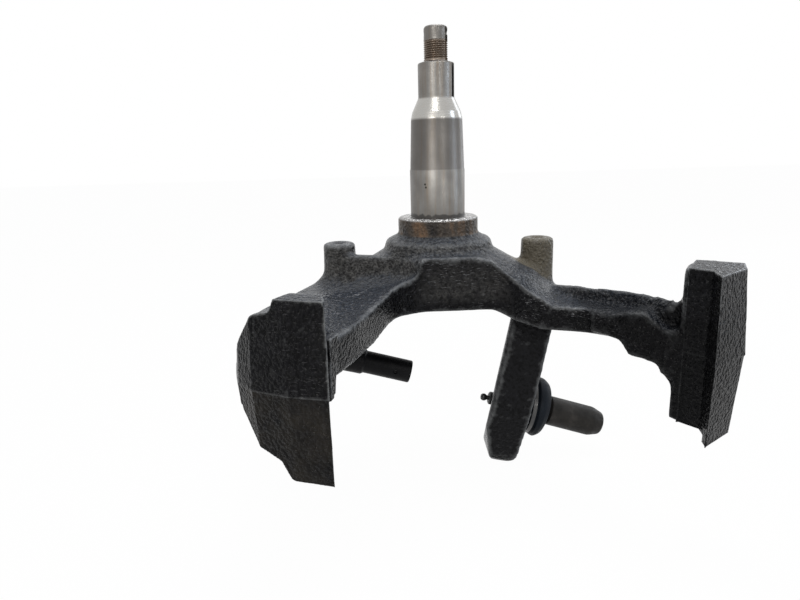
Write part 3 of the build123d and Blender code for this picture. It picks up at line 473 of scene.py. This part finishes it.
def make_spindle():
    low = rounded(
        [
            (0.01, SPINDLE_FOOT, 0),
            (INNER_SEAT_R, SPINDLE_FOOT, 0),
            (INNER_SEAT_R, INNER_SEAT_LENGTH - 0.3, 0),
            (INNER_SEAT_R - 0.35, INNER_SEAT_LENGTH + 0.4, 0),
            (SHANK_TOP_R + 0.12, FLARE_FOOT_Z - 3.0, 0.0),
            (SHANK_TOP_R, FLARE_FOOT_Z, 4.0),
            (SHANK_TOP_R - 1.2, FLARE_FOOT_Z + 5.0, 5.0),
            (OUTER_SEAT_R, OUTER_SEAT_Z, 4.0),
            (OUTER_SEAT_R, OUTER_SEAT_TOP, 1.4),
            (THREAD_R - 0.1, OUTER_SEAT_TOP + 1.5, 0.4),
            (THREAD_R - 0.1, THREAD_FOOT_Z - 0.05, 0),
        ],
        6,
    )
    thread = [Vector((0, z)) for z in np.arange(THREAD_FOOT_Z, THREAD_TOP_Z + 0.5, THREAD_PITCH / 12)]
    high = rounded([(PILOT_R, THREAD_TOP_Z + 0.7, 0), (PILOT_R, SPINDLE_TIP, 2.4), (0.01, SPINDLE_TIP, 0)], 6)
    rows = []
    for p in low + thread + high:
        ring = []
        for i in range(SPINDLE_SEGMENTS):
            angle = 2 * math.pi * i / SPINDLE_SEGMENTS
            r = p.x if p.x else spindle_radius(p.y, angle)
            ring.append((r * math.cos(angle) * MM, r * math.sin(angle) * MM, p.y * MM))
        rows.append(ring)
    obj = new_piece("spindle_ground", grid_mesh("spindle_ground", rows))
    depth = OUTER_SEAT_R + 5.0 - KEYWAY_FLOOR
    bm = bmesh.new()
    bmesh.ops.create_cube(bm, size=1.0)
    height = SPINDLE_TIP - OUTER_SEAT_Z + 1.0
    bmesh.ops.scale(bm, vec=(KEYWAY_WIDTH * MM, depth * MM, height * MM), verts=bm.verts)
    bmesh.ops.translate(
        bm, vec=(0, -(KEYWAY_FLOOR + depth / 2) * MM, (OUTER_SEAT_Z + height / 2) * MM), verts=bm.verts
    )
    bmesh.ops.rotate(bm, cent=(0, 0, 0), matrix=Matrix.Rotation(KEYWAY_AZIMUTH, 3, "Z"), verts=bm.verts)
    cut_shape(obj, "keyway_cutter", bm)
    bm = bmesh.new()
    radius = COTTER_R * MM
    bmesh.ops.create_cone(bm, cap_ends=True, segments=24, radius1=radius, radius2=radius, depth=0.04)
    bmesh.ops.rotate(bm, cent=(0, 0, 0), matrix=Matrix.Rotation(math.pi / 2, 3, "Y"), verts=bm.verts)
    bmesh.ops.translate(bm, vec=(0, 0, COTTER_Z * MM), verts=bm.verts)
    cut_shape(obj, "cotter_cutter", bm)
    obj.data.shade_smooth()
    obj.data.set_sharp_from_angle(angle=math.radians(38))
    return obj


# ------------------------------------------------------------------ casting
VOXEL = 0.00166
CASTING_TOP_Z = -0.05
SKIN_LEVEL, RAIL_LEVEL = -0.0002, -0.0001
RAIL_SMOOTHING = 0.4
PARTING_STEP = 0.0006
# the plane behind each caliper rail, in mm: a point and the way out to the rail
RAIL_PLANES = {
    "left_rail": ((-70, -180, 0), (-0.30, -1.0, 0)),
    "right_rail": ((153, -130.7, 0), (1.0, -0.65, 0)),
}
# how far the skin runs on inside a rail, in mm
RAIL_OVERLAP = 1.0


def mesh_arrays(mesh):
    """Vertex places and edge pairs as arrays."""
    co = np.zeros(len(mesh.vertices) * 3)
    mesh.vertices.foreach_get("co", co)
    pairs = np.zeros(len(mesh.edges) * 2, dtype=np.int64)
    mesh.edges.foreach_get("vertices", pairs)
    return co.reshape(-1, 3), pairs.reshape(-1, 2)


def vertex_normals(mesh):
    normals = np.zeros(len(mesh.vertices) * 3)
    mesh.vertices.foreach_get("normal", normals)
    return normals.reshape(-1, 3)


def averaged(co, pairs):
    """Each vertex moved to the middle of its neighbours."""
    a, b = pairs[:, 0], pairs[:, 1]
    count = np.maximum(np.bincount(pairs.ravel(), minlength=len(co)), 1)
    out = np.empty_like(co)
    for k in range(3):
        out[:, k] = np.bincount(a, co[b, k], len(co)) + np.bincount(b, co[a, k], len(co))
    return out / count[:, None]


def step(value, low, high):
    t = np.clip((value - low) / (high - low), 0, 1)
    return t * t * (3 - 2 * t)


def rail_share(co):
    """1 on the two caliper rails and the machined ends, 0 on the cast arms and hub."""
    x, y, z = co[:, 0], co[:, 1], co[:, 2]
    left = step(-(y + 0.30 * (x + 0.070)), 0.176, 0.184) * step(-x, 0.060, 0.068)
    right = step(x - 0.65 * (y + 0.1307), 0.1500, 0.1560) * step(-y, 0.108, 0.114)
    radius = np.hypot(x, y)
    collar = step(z, -0.0165, -0.0150) * step(-radius, -0.0350, -0.0342)
    lugs = step(-z, 0.118, 0.126) * step(y, -0.070, -0.060)
    return np.maximum.reduce([left, right, collar, 0.6 * lugs])


def soften(mesh):
    """Cast fillets on the arms and hub; the machined ends keep crisper edges."""
    co, pairs = mesh_arrays(mesh)
    hard = rail_share(co)[:, None]
    for turn in range(9):
        weight = 0.5 * (1 - hard) if turn >= 2 else 0.5 - 0.2 * hard
        co = co + (averaged(co, pairs) - co) * weight
    mesh.vertices.foreach_set("co", co.ravel())
    mesh.update()


def edge_attribute(mesh):
    """How far each vertex stands out: about 0.3 on a flat face and 1 on a sharp corner."""
    co, pairs = mesh_arrays(mesh)
    smooth = co
    for _ in range(3):
        smooth = averaged(smooth, pairs)
    bulge = np.einsum("ij,ij->i", co - smooth, vertex_normals(mesh))
    value = np.clip(0.3 + bulge / 0.0009, 0, 1)
    layer = mesh.attributes.new("edge", "FLOAT", "POINT")
    layer.data.foreach_set("value", value.astype(np.float32))


def roughen(mesh, level):
    """Sand-cast unevenness and grain off the machined places, the parting step and the dents."""
    co, _ = mesh_arrays(mesh)
    x, y, z = co[:, 0], co[:, 1], co[:, 2]
    machined = (np.hypot(x, y) < 0.0342) & (z > -0.0150)
    machined |= (z > -0.0212) & (np.abs(np.abs(x) - 0.0845) < 0.0145) & (np.abs(y) < 0.0145)
    machined |= (np.abs(y) < 0.028) & (z < -0.085)
    push = np.zeros(len(co))
    for i in np.nonzero(~machined)[0]:
        p = Vector(co[i])
        push[i] = noise.noise(p * 50.0) * 0.00022 + noise.noise(p * 260.0) * 0.00010 + level
    below = step(-z, 0.0802, 0.0812) * (rail_share(co) > 0.9) * (y < -0.10)
    push -= PARTING_STEP * below
    for place, size, depth in DENTS:
        away = np.linalg.norm(co - np.array(place) * MM, axis=1)
        push -= depth * MM * step(-away, -size * MM, 0)
    mesh.vertices.foreach_set("co", (co + vertex_normals(mesh) * push[:, None]).ravel())
    mesh.update()


def cut_off(bm, point, normal):
    """Removes what lies beyond a plane through a point, in mm, and closes the cut."""
    every = bm.verts[:] + bm.edges[:] + bm.faces[:]
    place = Vector(point) * MM
    bmesh.ops.bisect_plane(bm, geom=every, plane_co=place, plane_no=normal, clear_outer=True)
    bmesh.ops.holes_fill(bm, edges=[e for e in bm.edges if e.is_boundary], sides=0)


def cut_knuckle(name, point, normal):
    """A closed copy of the CAD knuckle behind a plane."""
    mesh = nodes["knuckle"].data.copy()
    bm = bmesh.new()
    bm.from_mesh(mesh)
    bmesh.ops.remove_doubles(bm, verts=bm.verts, dist=1e-6)
    cut_off(bm, point, normal)
    bm.to_mesh(mesh)
    bm.free()
    return new_piece(name, mesh)


def remesh(obj, **settings):
    modifier = obj.modifiers.new("remesh", "REMESH")
    for key, value in settings.items():
        setattr(modifier, key, value)
    modifier.use_smooth_shade = True
    bake(obj)


def make_casting():
    """The knuckle below the spindle and behind the rails, its edges softened as a casting's are."""
    obj = cut_knuckle("casting_skin", (0, 0, CASTING_TOP_Z), (0, 0, 1))
    remesh(obj, mode="VOXEL", voxel_size=VOXEL)
    soften(obj.data)
    roughen(obj.data, SKIN_LEVEL)
    bm = bmesh.new()
    bm.from_mesh(obj.data)
    for point, normal in RAIL_PLANES.values():
        out = Vector(normal).normalized()
        cut_off(bm, Vector(point) + out * RAIL_OVERLAP, out)
    bm.to_mesh(obj.data)
    bm.free()
    edge_attribute(obj.data)
    obj.data.shade_smooth()
    return obj


def make_rail(name):
    """A caliper rail with its edges kept crisp, joined to the soft skin at its plane."""
    point, normal = RAIL_PLANES[name]
    obj = cut_knuckle(name, point, tuple(-v for v in normal))
    remesh(obj, mode="SHARP", octree_depth=7, scale=0.9, sharpness=1.0)
    co, pairs = mesh_arrays(obj.data)
    co = co + (averaged(co, pairs) - co) * RAIL_SMOOTHING
    obj.data.vertices.foreach_set("co", co.ravel())
    obj.data.update()
    roughen(obj.data, RAIL_LEVEL)
    edge_attribute(obj.data)
    obj.data.shade_smooth()
    return obj


# ------------------------------------------------------------------ boots
def leaning_ring(centre, height, radius, lean, segments=72):
    """A ring of points square to an axis that leans further than the housing's, above the ball."""
    angle = HOUSING_TILT + lean
    axis = Vector((math.cos(angle), 0, -math.sin(angle)))
    across = Vector((0, 1, 0))
    other = axis.cross(across)
    middle = centre + axis * height
    points = []
    for i in range(segments):
        t = 2 * math.pi * i / segments
        points.append((middle + (across * math.cos(t) + other * math.sin(t)) * radius) * MM)
    return points


def make_boot(side_name):
    centre, lean = JOINTS[side_name]
    profile = rounded(
        [
            (HOUSING_R + 0.02, BOOT_FOOT, 0),
            (HOUSING_R + BOOT_WALL, BOOT_FOOT, 0.6),
            (HOUSING_R + BOOT_WALL, BOOT_FOOT + 4.8, 1.2),
            (BOOT_R - 0.3, BOOT_FOOT + 6.6, 2.0),
            (BOOT_R, BOOT_FOOT + 11.0, 4.0),
            (BOOT_R - 2.8, BOOT_TOP - 2.2, 3.0),
            (BOOT_R - 8.5, BOOT_TOP, 3.0),
            (NECK_R + 2.2, BOOT_TOP, 0.5),
            (NECK_R + 0.07, BOOT_TOP, 0),
            (NECK_R + 0.07, BOOT_TOP - 2.0, 0),
            (BOOT_R - 9.5, BOOT_TOP - 2.0, 2.0),
            (BOOT_R - 5.0, BOOT_TOP - 3.8, 2.0),
            (BOOT_R - 2.2, BOOT_FOOT + 10.6, 2.0),
            (HOUSING_R + 0.3, BOOT_FOOT + 8.0, 1.0),
            (HOUSING_R + 0.02, BOOT_FOOT + 6.5, 0),
            (HOUSING_R + 0.02, BOOT_FOOT, 0),
        ],
        5,
    )
    rows = []
    for p in profile[:-1]:
        share = min(1.0, max(0.0, (p.y - BOOT_FOOT - 5.0) / 9.0))
        rows.append(leaning_ring(centre, p.y, p.x, lean * share * share * (3 - 2 * share)))
    rows.append(rows[0])
    mesh = grid_mesh(f"{side_name}_boot", rows, closed_ends=False)
    bm = bmesh.new()
    bm.from_mesh(mesh)
    bmesh.ops.remove_doubles(bm, verts=bm.verts, dist=1e-7)
    bmesh.ops.recalc_face_normals(bm, faces=bm.faces)
    bm.to_mesh(mesh)
    bm.free()
    obj = new_piece(f"{side_name}_boot", mesh)
    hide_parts(f"{side_name}_dust_boot")
    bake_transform(obj)
    return obj


# ------------------------------------------------------------------ assemble
casting = make_casting()
paint(casting, painted_casting())
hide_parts("knuckle")
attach(casting, "casting")
for name in RAIL_PLANES:
    rail = make_rail(name)
    paint(rail, casting.data.materials[0])
    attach(rail, "casting")
steel = make_spindle()
paint(steel, ground_steel())
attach(steel, "casting")

joint_steel = dark_steel("joint_steel", (0.03, 0.031, 0.034), (0.06, 0.058, 0.056), 90, 0.2, (0.35, 0.55))
seat_steel = dark_steel("seat_steel", (0.35, 0.34, 0.33), (0.5, 0.49, 0.48), 60, 1.0, (0.22, 0.36))
nipple_steel = dark_steel("nipple_steel", (0.012, 0.012, 0.013), (0.03, 0.03, 0.031), 200, 0.3, (0.3, 0.45))
ring_steel = dark_steel("ring_steel", (0.05, 0.05, 0.053), (0.10, 0.098, 0.095), 120, 0.8, (0.3, 0.45))
rubber = boot_rubber()
for name in JOINTS:
    for piece, material, slot in (
        ("joint_housing", joint_steel, "joint_steel"),
        ("cover_plate", joint_steel, "joint_steel"),
        ("bearing_seat", seat_steel, "seat_steel"),
        ("pressure_seat", seat_steel, "seat_steel"),
        ("preload_spring", seat_steel, "seat_steel"),
        ("grease_nipple", nipple_steel, "nipple_steel"),
        ("snap_ring", ring_steel, "ring_steel"),
        ("boot_clamp", ring_steel, "ring_steel"),
        ("neck_ring", ring_steel, "ring_steel"),
        ("dust_boot", rubber, "boot_rubber"),
    ):
        paint(nodes[f"{name}_{piece}"], material)
    boot = make_boot(name)
    paint(boot, rubber)
paint(nodes["upper_ball_stud"], bare_stud())
paint(nodes["lower_ball_stud"], painted_stud())
paint(nodes["knuckle"], casting.data.materials[0])

# ------------------------------------------------------------------ floor, backdrop and light
FLOOR_Z = CAD_BOX[0][2]
FLOOR_REACH = 6.0
FLOOR_GLOW, FLOOR_GLOW_SHARE = 1.02, 0.96


def seen_directly(tree):
    """1 for camera, glossy and transmission rays: picture and steel both show the white."""
    path = tree.nodes.new("ShaderNodeLightPath")
    total = path.outputs["Is Camera Ray"]
    for name in ("Is Glossy Ray", "Is Transmission Ray"):
        either = tree.nodes.new("ShaderNodeMath")
        either.operation = "MAXIMUM"
        tree.links.new(total, either.inputs[0])
        tree.links.new(path.outputs[name], either.inputs[1])
        total = either.outputs[0]
    return total


def white_stage(name, share):
    """Pale matt surface that reads as white paper and takes a shadow."""
    material = bpy.data.materials.new(name)
    material.use_nodes = True
    tree = material.node_tree
    tree.nodes.clear()
    out = tree.nodes.new("ShaderNodeOutputMaterial")
    matt = tree.nodes.new("ShaderNodeBsdfDiffuse")
    matt.inputs["Color"].default_value = (0.35, 0.35, 0.35, 1)
    glow = tree.nodes.new("ShaderNodeEmission")
    glow.inputs["Strength"].default_value = FLOOR_GLOW
    weight = tree.nodes.new("ShaderNodeMath")
    weight.operation = "MULTIPLY"
    weight.inputs[1].default_value = share
    tree.links.new(seen_directly(tree), weight.inputs[0])
    mixer = tree.nodes.new("ShaderNodeMixShader")
    tree.links.new(weight.outputs[0], mixer.inputs[0])
    tree.links.new(matt.outputs[0], mixer.inputs[1])
    tree.links.new(glow.outputs[0], mixer.inputs[2])
    tree.links.new(mixer.outputs[0], out.inputs["Surface"])
    return material


floor_mesh = bpy.data.meshes.new("floor")
signs = ((-1, -1), (1, -1), (1, 1), (-1, 1))
corners = [(x * FLOOR_REACH, y * FLOOR_REACH, FLOOR_Z) for x, y in signs]
floor_mesh.from_pydata(corners, [], [(0, 1, 2, 3)])
floor = new_piece("floor", floor_mesh, False)
floor.data.materials.append(white_stage("floor_white", FLOOR_GLOW_SHARE))

world = bpy.data.worlds.new("studio")
scene.world = world
world.use_nodes = True
tree = world.node_tree
tree.nodes.clear()
out = tree.nodes.new("ShaderNodeOutputWorld")
coords = tree.nodes.new("ShaderNodeTexCoord")
height = tree.nodes.new("ShaderNodeSeparateXYZ")
tree.links.new(coords.outputs["Generated"], height.inputs[0])
sky = tree.nodes.new("ShaderNodeMapRange")
for socket, value in (("From Min", -0.1), ("From Max", 0.9), ("To Min", 0.07), ("To Max", 0.62)):
    sky.inputs[socket].default_value = value
tree.links.new(height.outputs["Z"], sky.inputs["Value"])
dim = tree.nodes.new("ShaderNodeBackground")
dim.inputs["Color"].default_value = (0.94, 0.97, 1, 1)
tree.links.new(sky.outputs[0], dim.inputs["Strength"])
white = tree.nodes.new("ShaderNodeBackground")
white.inputs["Color"].default_value = (1, 1, 1, 1)
white.inputs["Strength"].default_value = 1.0
mixer = tree.nodes.new("ShaderNodeMixShader")
tree.links.new(seen_directly(tree), mixer.inputs[0])
tree.links.new(dim.outputs[0], mixer.inputs[1])
tree.links.new(white.outputs[0], mixer.inputs[2])
tree.links.new(mixer.outputs[0], out.inputs["Surface"])


def lamp(name, place, aim, size, power, colour=(1, 1, 1)):
    data = bpy.data.lights.new(name, "AREA")
    data.shape = "RECTANGLE"
    data.size, data.size_y = size
    data.energy = power
    data.color = colour
    obj = bpy.data.objects.new(name, data)
    obj.location = place
    obj.rotation_euler = (Vector(aim) - Vector(place)).to_track_quat("-Z", "Y").to_euler()
    obj.visible_camera = False
    scene.collection.objects.link(obj)


lamp("overhead", (0.15, 0.25, 1.3), (0, 0, 0), (0.9, 0.6), 13, (0.97, 0.98, 1.0))
lamp("front_high", (-0.20, -0.95, 1.05), (0, 0, 0), (0.6, 0.12), 4.0, (1.0, 0.98, 0.95))
lamp("front_left", (-0.55, -1.15, 0.45), (0, 0, -0.05), (0.4, 0.14), 3.8, (1.0, 0.97, 0.92))
lamp("front_right", (0.50, -1.2, 0.42), (0, 0, -0.05), (0.2, 0.10), 1.6, (1.0, 0.98, 0.94))
lamp("back_window", (1.15, 0.95, 0.50), (0, 0, -0.05), (0.35, 0.9), 3.2, (0.84, 0.91, 1.0))
lamp("right_window", (1.5, -0.35, 0.5), (0, 0, -0.05), (0.22, 0.8), 4, (0.72, 0.84, 1.0))
